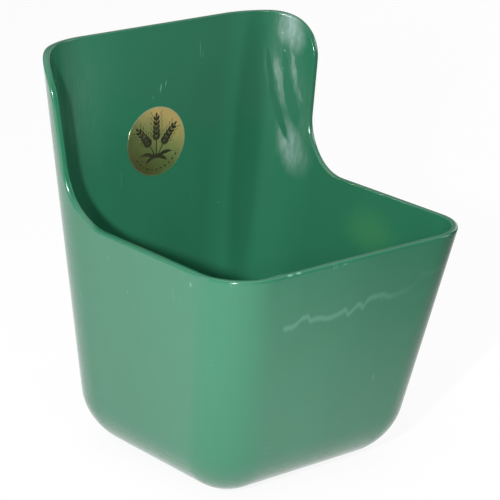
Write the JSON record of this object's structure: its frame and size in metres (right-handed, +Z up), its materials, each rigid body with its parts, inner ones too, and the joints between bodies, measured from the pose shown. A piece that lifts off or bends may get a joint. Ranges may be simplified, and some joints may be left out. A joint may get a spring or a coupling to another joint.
{
  "type": "horse feed trough",
  "caption": "Moulded plastic feed trough for a horse with a drafted bowl, a high back with side wings, a flat back to fasten against a wall and a round foil label.",
  "frame": {"origin": "centre of the bounding box on the floor, under the flat foot", "axes": "+X across to the object's left wing as seen from behind, -Y towards the low front rim, +Y out of the flat back, +Z up"},
  "size_m": [0.3424, 0.3333, 0.42],
  "materials": {
    "shell_plastic": "glossy injection-moulded green plastic with light scuffs",
    "label_foil": null
  },
  "bodies": {
    "root": {"trough_shell": "shell_plastic", "foil_label": "label_foil"}
  },
  "joints": []
}
